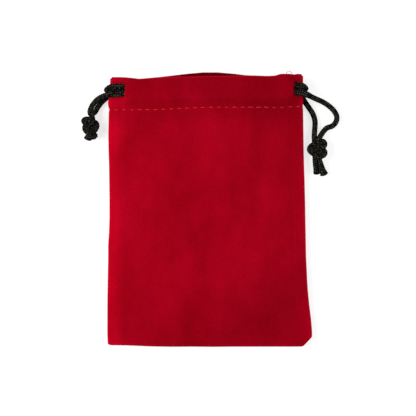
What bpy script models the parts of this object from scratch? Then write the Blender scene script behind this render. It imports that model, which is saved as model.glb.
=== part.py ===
"""A kinchaku: a small flat drawstring pouch of red velvet with two black braided cords.

Metres, +Z up. The empty pouch lies on its back: +Y is the mouth, +X the right side seen from above.
Each panel is one sheet of cloth. Its sides and bottom turn in as seam allowances, and its top edge
turns in as a hem that makes the casing. Two slits in each casing let the cords out.
"""

import math

import bmesh
import bpy
import numpy as np

# Overall size of the sewn pouch
BAG_LENGTH = 0.1233
BASE_WIDTH = 0.0918

# Cloth and sewing
CLOTH = 0.00045
FOLD_RADIUS = 0.000425
SEAM_GAP = 0.0003
ALLOWANCE = 0.005
TRIMMED_ALLOWANCE = 0.0004
CASING_DEPTH = 0.0146
HEM_EDGE = 0.0015
HEM_INSET = 0.0014
HEM_GAP = 0.0002
THREAD = 0.00034
THREAD_GAP = 0.00022
STITCH = 0.0035

# Cords and their way through the casing
CORD = 0.0023
CORD_CLEARANCE = 0.00025
LANE_SPACING = 0.0029
LANE_LEFT_DROP = 0.0056
LANE_RIGHT_DROP = 0.0068
LEFT_SLIT_INSET = 0.0063
RIGHT_SLIT_INSET = 0.0034
SLIT_END_SHARE = 0.74
SLIT_OPEN_SHARE = 0.46
SLIT_BLEND = 0.003
SLIT_REACH = 0.012
CASING_ROW = 0.002
LANE_DROP = 0.0025
LANE_CLIMB = 0.0018
CROSSING = 0.022
CROSSING_REACH = 0.011

# The loose form of the empty pouch
MOUTH_GAP = 0.0044
MOUTH_FLAT = 0.012
BODY_RISE = 0.006
EDGE_LIFT = 0.0028
STITCH_RISE = 0.0012
CORNER_FOLD = 0.0045
CORNER_SLANT = 0.94
LIFT_REACH = 0.018
MOUTH_END = 0.008
REST_REACH = 0.012

# Outline of the panels: share of the length above the bottom, and the inset from the widest place
LEFT_EDGE = ((0, 0), (0.28, 0), (0.45, 0.0009), (0.68, 0.0009), (0.8, 0.0005), (0.98, 0.0011))
RIGHT_EDGE = ((0, 0), (0.055, 0), (0.095, 0.0004), (0.155, 0.0013), (0.213, 0.0022),
              (0.33, 0.0027), (0.593, 0.0036), (0.863, 0.0041), (0.98, 0.0045))
# Share of the width from the left, and the rise above or the drop below the furthest place
BOTTOM_EDGE = ((0, 0.0008), (0.2, 0.0004), (0.5, 0.0003), (0.65, 0), (1, 0))
FRONT_TOP = ((0, 0.0023), (0.18, 0.0023), (0.29, 0.0021), (0.42, 0.0015), (0.53, 0.0012),
             (0.8, 0.0012), (0.87, 0.0014), (0.96, 0.0008), (1, 0.0008))
BACK_TOP = ((0, 0.0023), (0.16, 0.0023), (0.3, 0.0015), (0.4, 0.0006), (0.48, 0), (0.56, 0),
            (0.66, 0.0006), (0.75, 0.0012), (0.9, 0.0014), (1, 0.0014))

# Routes of the cords in millimetres, chosen by hand from the slits outwards
MM = 0.001
LEFT_CORD_FRONT_END = ((-53.6, 45.3, 1.6), (-52.5, 47.3, 2.4), (-50.8, 49.2, 3.5), (-48.8, 50.5, 4.8),
                       (-46.5, 51.3, 6.1), (-44.2, 51.8, 7.15), (-41.5, 51.9, 7.25), (-38.6, 52.15, 7.33))
LEFT_CORD_FRONT_LANE = ((-33, 52.2, 7.3), (-27.5, 52.2, 7.92), (-22, 52.2, 8.9), (-16.5, 52.2, 9.7),
                        (-5, 52.3, 9.95), (5, 52.3, 10.0), (11, 52.4, 10.1), (13.5, 52.5, 9.8),
                        (16.5, 52.7, 8.6), (22, 54.0, 6.2), (27.5, 55.3, 6.7), (33, 55.5, 7.25),
                        (38.1, 55.58, 7.33))
LEFT_CORD_WRAP = ((39.4, 55.6, 7.36), (40.7, 55.5, 7.15), (42.25, 55.1, 6.4), (43.05, 54.3, 4.1),
                  (42.25, 54.1, 1.9), (40.7, 54.7, 1.27), (39.4, 55.35, 1.28))
LEFT_CORD_BACK_LANE = ((38.1, 55.58, 1.72), (28, 55.5, 1.85), (17, 55.4, 1.85), (6, 55.3, 1.85),
                       (-5, 55.3, 1.85), (-11, 55.3, 1.9), (-16.5, 55.0, 3.0), (-22, 53.8, 4.5),
                       (-27.5, 52.5, 2.9), (-33, 52.2, 1.9), (-38.6, 52.15, 1.85))
LEFT_CORD_BACK_END = ((-40.0, 52.15, 1.4), (-41.5, 52.05, 1.27), (-44.3, 51.4, 1.27), (-46.7, 50.0, 1.27),
                      (-48.8, 48.1, 1.27), (-50.5, 45.9, 1.27))
RIGHT_CORD_FRONT_END = ((52.7, 36.8, 1.3), (54.6, 37.3, 1.3), (56.4, 38.9, 1.3), (57.1, 41.3, 1.35),
                        (56.2, 43.7, 1.5), (54.1, 46.0, 2.0), (51.1, 48.1, 3.2), (48.2, 49.4, 4.5),
                        (45.9, 50.4, 5.8), (43.6, 51.5, 6.8), (40.9, 52.45, 7.2), (38.1, 52.8, 7.33))
RIGHT_CORD_FRONT_LANE = ((33, 52.75, 7.25), (27.5, 52.8, 7.9), (22, 54.0, 9.06), (16.5, 55.2, 9.8),
                         (11, 55.3, 9.9), (0, 55.2, 9.95), (-11, 55.15, 9.9), (-16.5, 55.1, 9.7),
                         (-22, 55.1, 8.9), (-27.5, 55.1, 7.92), (-33, 55.1, 7.3), (-38.6, 55.05, 7.33))
RIGHT_CORD_WRAP = ((-41.4, 55.0, 7.25), (-43.7, 54.9, 7.1), (-45.55, 54.4, 6.45), (-46.45, 53.6, 4.1),
                   (-45.55, 53.5, 1.9), (-43.7, 54.15, 1.27), (-41.4, 54.9, 1.3), (-40.0, 55.05, 1.4))
RIGHT_CORD_BACK_LANE = ((-38.6, 55.05, 1.85), (-33, 55.05, 1.85), (-27.5, 54.95, 1.85), (-22, 53.8, 1.85),
                        (-16.5, 52.6, 1.85), (-11, 52.4, 1.85), (0, 52.4, 1.85), (12, 52.5, 1.85),
                        (25, 52.6, 1.85), (38.1, 52.68, 1.72))
RIGHT_CORD_BACK_END = ((39.3, 52.6, 1.25), (41.1, 51.2, 1.27), (42.6, 48.5, 1.27), (44.4, 45.9, 1.27),
                       (46.2, 43.1, 1.27), (47.2, 40.0, 1.27), (47.2, 37.2, 1.27))
# Where each pair of ends goes into its knot and where its two tails stop, front end first
LEFT_KNOT_IN = ((-54.1, 43.4, 1.4), (-51.7, 43.6, 1.3))
LEFT_KNOT_OUT = ((-55.0, 31.6, 1.3), (-51.9, 32.6, 1.3))
LEFT_KNOT_MIDDLE = (-53.6, 38.6, 4.2)
RIGHT_KNOT_IN = ((51.0, 35.1, 1.3), (47.0, 35.3, 1.3))
RIGHT_KNOT_OUT = ((51.4, 15.8, 1.3), (48.2, 16.3, 1.3))
RIGHT_KNOT_MIDDLE = (48.0, 27.6, 4.2)

# The overhand knot, loose: across, along from the entry to the tails, and 1 over or -1 under
LOOSE_KNOT = ((-1.6, 3.0, 0.0), (-0.4, 2.3, 0.7), (1.0, 1.5, 1.0), (2.2, 0.8, 0.0), (3.0, 0.0, -1.0),
              (3.9, -1.3, -0.3), (3.0, -2.2, 0.4), (1.0, -1.5, 1.0), (0.1, 0.0, 0.0), (1.0, 1.5, -1.0),
              (3.0, 2.2, -0.4), (3.9, 1.3, 0.3), (3.0, 0.0, 1.0), (2.2, -0.8, 0.0), (1.0, -1.5, -1.0),
              (-0.4, -2.3, -0.7), (-1.6, -3.0, 0.0))
LOOSE_KNOT_MIDDLE = 1.6
LOOSE_KNOT_SCALE = 0.0022
KNOT_SQUEEZE = 0.68
KNOT_MARGIN = 0.00018
KNOT_ROUNDS = 1000
KNOT_LAST_ROUNDS = 150
FINE_STEP = 0.0003
MOST_STEP = 0.0069
MOST_TURN = math.radians(26)
MOST_KNOT_TURN = math.radians(47)

FOLD_STEPS = 5
SIDE_STEPS = 4
BODY_ROWS = (0.035, 0.09, 0.2, 0.35, 0.5, 0.65, 0.78, 0.88, 0.95)

LANE_RISE = CORD + 2 * CORD_CLEARANCE + CLOTH
CLOSED_RISE = CLOTH + HEM_GAP
EDGE_REACH = FOLD_RADIUS + CLOTH / 2


def smooth(share):
    """0 below 0, 1 above 1, and an even curve between."""
    share = min(max(share, 0.0), 1.0)
    return share * share * (3 - 2 * share)


def read(curve, place):
    """The value of a named outline at a share from 0 to 1."""
    shares, values = zip(*curve)
    return float(np.interp(place, shares, values))


def clear_scene():
    for old in list(bpy.data.objects):
        bpy.data.objects.remove(old, do_unlink=True)


def new_collection(name):
    collection = bpy.data.collections.new(name)
    bpy.context.scene.collection.children.link(collection)
    return collection


def new_material(name, colour, roughness):
    material = bpy.data.materials.new(name)
    material.use_nodes = True
    shader = material.node_tree.nodes["Principled BSDF"]
    shader.inputs["Base Color"].default_value = (*colour, 1)
    shader.inputs["Roughness"].default_value = roughness
    shader.inputs["Metallic"].default_value = 0
    return material


def left_x(y):
    return -BASE_WIDTH / 2 + read(LEFT_EDGE, y / BAG_LENGTH + 0.5)


def right_x(y):
    return BASE_WIDTH / 2 - read(RIGHT_EDGE, y / BAG_LENGTH + 0.5)


def bottom_y(share):
    """The bottom edge at a share of the width. The right corner is folded under at a slant."""
    corner = 1 - CORNER_FOLD / BASE_WIDTH
    slant = max(0.0, share - corner) * BASE_WIDTH
    return -BAG_LENGTH / 2 + read(BOTTOM_EDGE, share) + CORNER_SLANT * slant


def front_top_y(share):
    return BAG_LENGTH / 2 - read(FRONT_TOP, share)


def stitch_y(share):
    """The seam line that closes the casing, a casing's depth below the front's top edge."""
    return front_top_y(share) - CASING_DEPTH


def lane_y(share):
    """The middle line between the two cords in the casing."""
    drop = LANE_LEFT_DROP + share * (LANE_RIGHT_DROP - LANE_LEFT_DROP)
    return BAG_LENGTH / 2 - LANE_DROP + share * LANE_CLIMB - drop


def column_shares():
    """The panel's columns as shares of the mouth's width, with one on each slit and each crossing."""
    y = BAG_LENGTH / 2 - CASING_DEPTH / 2
    left, right = left_x(y), right_x(y)
    width = right - left
    half_reach = CROSSING_REACH / 2
    places = [left, left + HEM_INSET, left + (HEM_INSET + LEFT_SLIT_INSET) / 2, left + LEFT_SLIT_INSET]
    places.append(left + LEFT_SLIT_INSET + SLIT_BLEND)
    for middle in (-CROSSING, CROSSING):
        if middle > 0:
            places += [-MOUTH_FLAT * 0.75, 0.0, MOUTH_FLAT * 0.75]
        places += [middle - CROSSING_REACH, middle - half_reach, middle, middle + half_reach]
    places += [right - RIGHT_SLIT_INSET - SLIT_BLEND, right - RIGHT_SLIT_INSET, right - HEM_INSET, right]
    return [(place - left) / width for place in sorted(places)], left, width


SHARES, MOUTH_LEFT, MOUTH_WIDTH = column_shares()
LEFT_SLIT = min(range(len(SHARES)), key=lambda j: abs(SHARES[j] * MOUTH_WIDTH - LEFT_SLIT_INSET))
RIGHT_SLIT = min(range(len(SHARES)),
                 key=lambda j: abs((1 - SHARES[j]) * MOUTH_WIDTH - RIGHT_SLIT_INSET))


def side_weight(share):
    """1 beside the side seams, 0 inside the casing, and a half on the slits."""
    from_left = share * MOUTH_WIDTH
    from_right = (1 - share) * MOUTH_WIDTH
    left = smooth((LEFT_SLIT_INSET + SLIT_BLEND - from_left) / (2 * SLIT_BLEND))
    right = smooth((RIGHT_SLIT_INSET + SLIT_BLEND - from_right) / (2 * SLIT_BLEND))
    return max(left, right)


def slit_bump(share):
    """1 on the slits, falling to 0 some way inside the casing."""
    from_left = abs(share * MOUTH_WIDTH - LEFT_SLIT_INSET)
    from_right = abs((1 - share) * MOUTH_WIDTH - RIGHT_SLIT_INSET)
    return smooth(1 - min(from_left, from_right) / SLIT_REACH)


def crossing_bump(share, middle):
    """1 where the two cords cross in the casing, 0 a reach away."""
    away = abs(MOUTH_LEFT + share * MOUTH_WIDTH - middle)
    return 0.5 + 0.5 * math.cos(math.pi * min(away / CROSSING_REACH, 1.0))


def mouth_rise(share):
    """1 along the open middle of the mouth, 0 at the slits."""
    away = abs(MOUTH_LEFT + share * MOUTH_WIDTH)
    end = BASE_WIDTH / 2 - MOUTH_END
    return smooth((end - away) / (end - MOUTH_FLAT))


def edge_lift(y):
    """How far the side seams stand off the table: the cords pass below them at the casing."""
    start = BAG_LENGTH / 2 - CASING_DEPTH - LIFT_REACH
    return EDGE_LIFT * smooth((y - start) / LIFT_REACH)


def back_edge_z(y):
    return CLOTH / 2 + edge_lift(y)


def seam_z(y):
    return back_edge_z(y) + 2 * FOLD_RADIUS + (CLOTH + SEAM_GAP) / 2


def front_edge_z(y):
    return seam_z(y) + 2 * FOLD_RADIUS + (CLOTH + SEAM_GAP) / 2


def back_hem_z(share):
    inside = CLOTH / 2 + LANE_RISE + CLOSED_RISE * slit_bump(share)
    y = lane_y(share)
    return inside + (back_edge_z(y) + CLOSED_RISE - inside) * side_weight(share) ** 2


def front_hem_z(share):
    y = lane_y(share)
    at_slit = CLOTH / 2 + LANE_RISE + CLOSED_RISE + CLOTH + 2 * SEAM_GAP
    middle = CLOTH / 2 + LANE_RISE + CLOTH + MOUTH_GAP
    inside = at_slit + (middle - at_slit) * mouth_rise(share)
    return inside + (front_edge_z(y) - CLOSED_RISE - inside) * side_weight(share) ** 2


def body_puff(share, along):
    """How far the front stands off its seams: 0 at the sides and the bottom, 1 in the middle."""
    across = math.sin(math.pi * min(max(share, 0.0), 1.0)) ** 0.7
    return across * smooth(along / 0.3) ** 0.6


class Panel:
    """The middle surface of one panel's cloth. side is 1 for the front and -1 for the back."""

    def __init__(self, side):
        self.side = side
        self.mesh = bmesh.new()
        self.points = {}

    def top_y(self, share):
        curve = FRONT_TOP if self.side > 0 else BACK_TOP
        return BAG_LENGTH / 2 - read(curve, share)

    def stitch_z(self, share):
        """The outer layer's height on the seam line of the casing."""
        y = stitch_y(share)
        if self.side > 0:
            return front_hem_z(share) + CLOSED_RISE
        inside = CLOTH / 2 + STITCH_RISE
        return inside + (back_edge_z(y) - inside) * side_weight(share)

    def body_z(self, share, along, y):
        edge = front_edge_z(y) if self.side > 0 else back_edge_z(y)
        near_stitch = smooth((along - 0.8) / 0.2)
        if self.side > 0:
            open_z = edge + BODY_RISE * body_puff(share, along)
        else:
            rest = smooth(1 - min(share, 1 - share) * MOUTH_WIDTH / REST_REACH)
            open_z = CLOTH / 2 + edge_lift(y) * rest
        return open_z + (self.stitch_z(share) - open_z) * near_stitch

    def hem_z(self, share, crossing=0.0):
        """The hem's height inside the casing, moved towards the mouth where the cords cross."""
        if self.side > 0:
            lower = crossing * crossing_bump(share, CROSSING)
            return front_hem_z(share) - (CORD + CORD_CLEARANCE) * lower
        raised = crossing * crossing_bump(share, -CROSSING)
        return back_hem_z(share) + (CORD + CORD_CLEARANCE) * raised

    def casing_height(self, share, lip):
        """The distance between the outer layer and the hem. lip is 1 beyond a slit, -1 before it."""
        open_height = LANE_RISE + CLOSED_RISE * slit_bump(share)
        if lip > 0:
            return CLOSED_RISE
        if lip < 0:
            return open_height
        return open_height + (CLOSED_RISE - open_height) * side_weight(share)

    def lane_z(self, share, lip=0, opened=1.0):
        """The outer layer's height over the cords."""
        height = CLOSED_RISE + (self.casing_height(share, lip) - CLOSED_RISE) * opened
        return max(self.hem_z(share) + self.side * height, CLOTH / 2)

    def add(self, key, x, y, z):
        self.points[key] = self.mesh.verts.new((x, y, z))

    def x_of(self, share, y):
        left, right = left_x(y) + EDGE_REACH, right_x(y) - EDGE_REACH
        return left + share * (right - left)

    def add_body(self):
        """Rows from the bottom edge to the casing's seam line."""
        last = len(SHARES) - 1
        for i, along in enumerate((0.0, *BODY_ROWS)):
            for j, share in enumerate(SHARES):
                low = bottom_y(share) + EDGE_REACH
                if j == 0 and i == 0:
                    low += EDGE_REACH / 2
                y = low + along * (stitch_y(share) - low)
                x = self.x_of(share, y)
                if i == 0 and j in (0, last):
                    x -= math.copysign(EDGE_REACH / 3, x)
                self.add((i, j, 0), x, y, self.body_z(share, along, y))
        return len(BODY_ROWS) + 1

    def add_casing(self, row):
        """Rows of the outer layer from the seam line to the top fold, with the slits cut in them."""
        half = LANE_SPACING / 2
        end, full = half + CORD * SLIT_END_SHARE, half + CORD * SLIT_OPEN_SHARE
        lines = ((None, 0), (-end - CASING_ROW, 0), (-end, 0), (-full, 1), (0, 1), (full, 1), (end, 0))
        for offset, slit in lines:
            for j, share in enumerate(SHARES):
                if offset is None:
                    y, z = stitch_y(share), self.stitch_z(share)
                    self.add((row, j, 0), self.x_of(share, y), y, z)
                    continue
                opened = 0.75 if offset < -end else 1.0
                y = lane_y(share) + offset
                x = self.x_of(share, y)
                if slit and j in (LEFT_SLIT, RIGHT_SLIT):
                    self.add((row, j, 1), x, y, self.lane_z(share, 1, opened))
                    self.add((row, j, -1), x, y, self.lane_z(share, -1, opened))
                else:
                    z = self.lane_z(share, 0, opened)
                    if j in (0, len(SHARES) - 1):
                        z = front_edge_z(y) if self.side > 0 else back_edge_z(y)
                    self.add((row, j, 0), x, y, z)
            row += 1
        return row

    def add_top_fold(self, row):
        """The rows round the top fold, and the hem from there down to its raw edge."""
        half_turn = range(FOLD_STEPS + 1)
        for step in half_turn:
            turn = math.pi * step / FOLD_STEPS
            for j, share in enumerate(SHARES):
                if j in (0, len(SHARES) - 1):
                    if step == 0:
                        y = self.top_y(share) - EDGE_REACH
                        z = front_edge_z(y) if self.side > 0 else back_edge_z(y)
                        self.add((row, j, 0), self.x_of(share, y), y, z)
                    continue
                radius = self.casing_height(share, 0) / 2
                top = self.top_y(share) - CLOTH / 2
                slit_top = lane_y(share) + LANE_SPACING / 2 + CORD * SLIT_END_SHARE
                depth = min(radius, top - slit_top - CLOTH)
                y = top - depth * (1 - math.sin(turn))
                z = self.hem_z(share) + self.side * radius * (1 + math.cos(turn))
                self.add((row + step, j, 0), self.x_of(share, y), y, z)
        row += FOLD_STEPS + 1
        half = LANE_SPACING / 2
        for offset in (half, -half - CORD / 2, None, HEM_EDGE):
            for j, share in enumerate(SHARES):
                if j in (0, len(SHARES) - 1):
                    continue
                if offset in (None, HEM_EDGE):
                    y = stitch_y(share) - (offset or 0.0)
                    z = self.stitch_z(share) - self.side * CLOSED_RISE
                else:
                    y = lane_y(share) + offset
                    z = self.hem_z(share, 1.0)
                self.add((row, j, 0), self.x_of(share, y), y, z)
            row += 1
        return row

    def corner(self, row, column, towards):
        """The point of the grid there. At a slit it is the lip on the side of the face asked for."""
        if (row, column, 0) in self.points:
            return self.points[(row, column, 0)]
        outside = (column == LEFT_SLIT) == (towards < column)
        return self.points.get((row, column, 1 if outside else -1))

    def add_faces(self, rows):
        for row in range(rows - 1):
            for column in range(len(SHARES) - 1):
                corners = (self.corner(row, column, column + 1), self.corner(row, column + 1, column),
                           self.corner(row + 1, column + 1, column), self.corner(row + 1, column, column + 1))
                if None not in corners:
                    self.mesh.faces.new(corners)

    def border(self, outer_rows):
        """The grid's open border: down the left side, along the bottom and up the right side."""
        last = len(SHARES) - 1
        down = [(row, 0, 0) for row in reversed(range(outer_rows))]
        along = [(0, column, 0) for column in range(1, last)]
        up = [(row, last, 0) for row in range(outer_rows)]
        return [self.points[key] for key in down + along + up]

    def add_allowance(self, outer_rows):
        """Turns the border in: half a turn round the edge, then flat between the panels."""
        border = self.border(outer_rows)
        places = np.array([point.co[:2] for point in border])
        corners = (outer_rows - 1, outer_rows - 1 + len(SHARES) - 1)
        runs = np.linalg.norm(np.diff(places, axis=0), axis=1)
        along = np.concatenate(([0], np.cumsum(runs)))
        rings = []
        for index, point in enumerate(border):
            before = places[max(index - 1, 0)]
            after = places[min(index + 1, len(border) - 1)]
            step = (after - before) / np.linalg.norm(after - before)
            out = np.array((step[1], -step[0]))
            to_corner = min(abs(along[index] - along[corner]) for corner in corners)
            width = min(ALLOWANCE, TRIMMED_ALLOWANCE + 0.7 * to_corner)
            casing = smooth((point.co.y - (stitch_y(0.0) - 0.006)) / 0.004)
            width += (TRIMMED_ALLOWANCE - width) * casing
            ring = [point]
            for step_index in range(1, SIDE_STEPS + 1):
                turn = math.pi * step_index / SIDE_STEPS
                x, y = places[index] + out * FOLD_RADIUS * math.sin(turn)
                z = point.co.z - self.side * FOLD_RADIUS * (1 - math.cos(turn))
                ring.append(self.mesh.verts.new((x, y, z)))
            x, y = places[index] - out * width
            ring.append(self.mesh.verts.new((x, y, point.co.z - self.side * 2 * FOLD_RADIUS)))
            rings.append(ring)
        for first, second in zip(rings, rings[1:]):
            for k in range(SIDE_STEPS + 1):
                self.mesh.faces.new((first[k], second[k], second[k + 1], first[k + 1]))

    def stitch_line(self):
        """The points of the seam line on the outer layer, from the left to the right."""
        row = len(BODY_ROWS) + 1
        return [self.points[(row, j, 0)].co.copy() for j in range(1, len(SHARES) - 1)]

    def build(self, name, collection, material):
        rows = self.add_body()
        rows = self.add_casing(rows)
        outer_rows = rows + 1
        line = self.stitch_line()
        rows = self.add_top_fold(rows)
        self.add_faces(rows)
        self.add_allowance(outer_rows)
        bmesh.ops.recalc_face_normals(self.mesh, faces=self.mesh.faces)
        data = bpy.data.meshes.new(name)
        self.mesh.to_mesh(data)
        self.mesh.free()
        panel = bpy.data.objects.new(name, data)
        collection.objects.link(panel)
        data.materials.append(material)
        cloth = panel.modifiers.new("Cloth", "SOLIDIFY")
        cloth.thickness = CLOTH
        cloth.offset = 0
        cloth.use_even_offset = True
        cloth.use_quality_normals = True
        data.shade_smooth()
        return line


def through(points, step):
    """Points at an even step along the smooth curve that passes through the given ones."""
    points = np.array(points, float)
    padded = np.vstack([2 * points[0] - points[1], points, 2 * points[-1] - points[-2]])
    line = []
    for before, start, end, after in zip(padded, padded[1:], padded[2:], padded[3:]):
        for part in np.linspace(0, 1, 16, endpoint=False):
            line.append(0.5 * (2 * start + (end - before) * part
                               + (2 * before - 5 * start + 4 * end - after) * part ** 2
                               + (3 * start - before - 3 * end + after) * part ** 3))
    line = np.array([*line, points[-1]])
    along = np.concatenate(([0], np.cumsum(np.linalg.norm(np.diff(line, axis=0), axis=1))))
    places = np.linspace(0, along[-1], max(2, round(along[-1] / step) + 1))
    return np.column_stack([np.interp(places, along, line[:, axis]) for axis in range(3)])


def thinned(line, most_turn):
    """The points that a tube needs: one wherever the line has turned enough or gone far enough."""
    steps = np.diff(line, axis=0)
    steps /= np.linalg.norm(steps, axis=1)[:, None]
    kept, turned = [line[0]], 0.0
    for before, after, point in zip(steps, steps[1:], line[1:-1]):
        turned += math.acos(min(1.0, float(before @ after)))
        if turned > most_turn or np.linalg.norm(point - kept[-1]) > MOST_STEP:
            kept.append(point)
            turned = 0.0
    return np.array([*kept, line[-1]])


def loose_knot(ways_in, ways_out, middle, hand):
    """Both strands of the overhand knot before it is drawn tight, side by side all the way."""
    loop = np.array(LOOSE_KNOT)
    loop[:, 0] = (loop[:, 0] - LOOSE_KNOT_MIDDLE) * hand
    line = through(loop * (LOOSE_KNOT_SCALE, LOOSE_KNOT_SCALE, CORD * 0.62), CORD * 0.4)
    along = np.gradient(line[:, :2], axis=0)
    along /= np.linalg.norm(along, axis=1)[:, None]
    strands = []
    for way_in, way_out, sign in zip(ways_in, ways_out, (1, -1)):
        strand = line + np.array(middle) * MM
        strand[:, 0] -= along[:, 1] * CORD * 0.55 * sign
        strand[:, 1] += along[:, 0] * CORD * 0.55 * sign
        ends = np.array((way_in, way_out)) * MM
        strands.append(through(np.vstack([ends[:1], strand[::3], ends[1:]]), CORD * 0.5))
    return strands


def drawn_tight(strands, spacing, table):
    """Shortens the strands between their fixed ends while they stay a spacing apart and on the table."""
    places = np.vstack(strands)
    owner = np.concatenate([np.full(len(strand), k) for k, strand in enumerate(strands)])
    starts = np.cumsum([0] + [len(strand) for strand in strands])
    ends = np.concatenate([starts[:-1], starts[1:] - 1])
    free = np.setdiff1d(np.arange(len(places)), ends)
    moves = np.isin(np.arange(len(places)), free)[:, None]
    first, second = np.triu_indices(len(places), 1)
    for turn in range(KNOT_ROUNDS + KNOT_LAST_ROUNDS):
        if turn < KNOT_ROUNDS:
            pull = 0.4 * (1 - 0.8 * turn / KNOT_ROUNDS)
            places[free] += pull * ((places[free - 1] + places[free + 1]) / 2 - places[free])
        steps = np.linalg.norm(np.diff(places, axis=0), axis=1)
        along = np.concatenate(([0], np.cumsum(steps)))
        apart = (owner[first] != owner[second]) | (along[second] - along[first] > 1.6 * spacing)
        one, other = first[apart], second[apart]
        for _ in range(3):
            gaps = places[other] - places[one]
            far = np.linalg.norm(gaps, axis=1)
            near = far < spacing
            push = gaps[near] * ((spacing - far[near]) / far[near] * 0.3)[:, None]
            np.add.at(places, other[near], push * moves[other[near]])
            np.add.at(places, one[near], -push * moves[one[near]])
            places[free, 2] = np.maximum(places[free, 2], table)
    return [places[start:end] for start, end in zip(starts, starts[1:])]


def squeezed_widths(strand, other):
    """How thick the strand is at each point: the knot leaves it the room up to the other strand."""
    room = np.linalg.norm(strand[:, None] - other[None], axis=2).min(axis=1) - KNOT_MARGIN
    return np.clip(room / CORD, KNOT_SQUEEZE, 1.0)


def drawstring(knot, front_end, front_lane, wrap, back_lane, back_end):
    """One cord from tail to tail, and how thick it is at each point: it is squeezed in its knot."""
    squeezed = CORD * KNOT_SQUEEZE + KNOT_MARGIN
    strands = drawn_tight(loose_knot(*knot), squeezed, CORD / 2 + KNOT_MARGIN)
    front_fine, back_fine = through(strands[0][::-1], FINE_STEP), through(strands[1], FINE_STEP)
    front_strand = thinned(front_fine, MOST_KNOT_TURN)
    back_strand = thinned(back_fine, MOST_KNOT_TURN)
    run = np.array([*front_end, *front_lane, *wrap, *back_lane, *back_end]) * MM
    run = np.vstack([front_strand[-1:], run, back_strand[:1]])
    between = thinned(through(run, FINE_STEP), MOST_TURN)[1:-1]
    points = np.vstack([front_strand, between, back_strand])
    widths = np.ones(len(points))
    widths[:len(front_strand)] = squeezed_widths(front_strand, back_fine)
    widths[-len(back_strand):] = squeezed_widths(back_strand, front_fine)
    return points, widths


def tube(name, points, diameter, resolution, collection, material, widths=None):
    """A round cord or thread with closed ends along a list of points."""
    curve = bpy.data.curves.new(name, "CURVE")
    curve.dimensions = "3D"
    curve.bevel_depth = diameter / 2
    curve.bevel_resolution = resolution
    curve.use_fill_caps = True
    spline = curve.splines.new("POLY")
    spline.points.add(len(points) - 1)
    for index, (target, point) in enumerate(zip(spline.points, points)):
        target.co = (*point, 1)
        target.radius = 1.0 if widths is None else widths[index]
    curve.materials.append(material)
    cord = bpy.data.objects.new(name, curve)
    collection.objects.link(cord)
    return cord


def add_casing_thread(name, side, line, collection, material):
    """The sewing thread that shows: a stitch over the cloth, then a dip at each needle hole."""
    places = np.array(line)
    count = int((places[-1, 0] - places[0, 0]) / STITCH)
    points = []
    for step in range(2 * count + 1):
        x = places[0, 0] + (places[-1, 0] - places[0, 0]) * step / (2 * count)
        y = np.interp(x, places[:, 0], places[:, 1])
        z = np.interp(x, places[:, 0], places[:, 2])
        crest = THREAD / 2 if step % 2 else 0.0
        points.append((x, y, z + side * (CLOTH / 2 + THREAD_GAP + THREAD / 2 + crest)))
    tube(name, points, THREAD, 1, collection, material)


def add_drawstrings(collection, material):
    left = drawstring((LEFT_KNOT_IN, LEFT_KNOT_OUT, LEFT_KNOT_MIDDLE, -1), LEFT_CORD_FRONT_END,
                      LEFT_CORD_FRONT_LANE, LEFT_CORD_WRAP, LEFT_CORD_BACK_LANE, LEFT_CORD_BACK_END)
    right = drawstring((RIGHT_KNOT_IN, RIGHT_KNOT_OUT, RIGHT_KNOT_MIDDLE, 1), RIGHT_CORD_FRONT_END,
                       RIGHT_CORD_FRONT_LANE, RIGHT_CORD_WRAP, RIGHT_CORD_BACK_LANE, RIGHT_CORD_BACK_END)
    for name, (points, widths) in (("left_drawstring", left), ("right_drawstring", right)):
        tube(name, points, CORD, 2, collection, material, widths)


def main():
    clear_scene()
    pouch = new_collection("kinchaku_pouch")
    velvet = new_material("red_velvet", (0.36, 0.002, 0.01), 0.9)
    thread = new_material("red_thread", (0.55, 0.03, 0.02), 0.6)
    front_line = Panel(1).build("front_panel", pouch, velvet)
    back_line = Panel(-1).build("back_panel", pouch, velvet)
    add_casing_thread("front_casing_thread", 1, front_line, pouch, thread)
    add_casing_thread("back_casing_thread", -1, back_line, pouch, thread)
    cord = new_material("black_cord", (0.008, 0.007, 0.006), 0.6)
    add_drawstrings(pouch, cord)


main()
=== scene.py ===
"""The looks of a kinchaku: a flat drawstring pouch of red velvet with two black braided cords.

Metres, +Z up, in the frame of the CAD part. The pouch lies on its back and the camera looks straight down.
"""

import math

import bpy
import numpy as np
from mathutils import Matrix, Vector, noise


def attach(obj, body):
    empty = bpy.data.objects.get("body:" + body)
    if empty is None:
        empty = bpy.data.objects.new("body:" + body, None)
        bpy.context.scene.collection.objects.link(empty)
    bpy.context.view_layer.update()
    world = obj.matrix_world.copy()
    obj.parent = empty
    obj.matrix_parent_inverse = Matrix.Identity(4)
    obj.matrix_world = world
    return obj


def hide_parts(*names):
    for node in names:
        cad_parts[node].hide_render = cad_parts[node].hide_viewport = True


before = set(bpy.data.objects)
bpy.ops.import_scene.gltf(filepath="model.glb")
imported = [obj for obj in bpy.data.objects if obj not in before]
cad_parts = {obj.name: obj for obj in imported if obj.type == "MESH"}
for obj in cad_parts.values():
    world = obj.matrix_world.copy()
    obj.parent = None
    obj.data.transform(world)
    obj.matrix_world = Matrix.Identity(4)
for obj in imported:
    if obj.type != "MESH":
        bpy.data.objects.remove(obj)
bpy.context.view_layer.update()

# The photograph: its scale, the point that its middle shows, and the size of the picture
PIXEL = 0.00045
VIEW_MIDDLE = (-0.0009, 0.000675)
PICTURE_PIXELS = 416
CAMERA_HEIGHT = 2.0
SENSOR_MM = 36.0
CAMERA_SEES = (0.01, 100.0)

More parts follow.
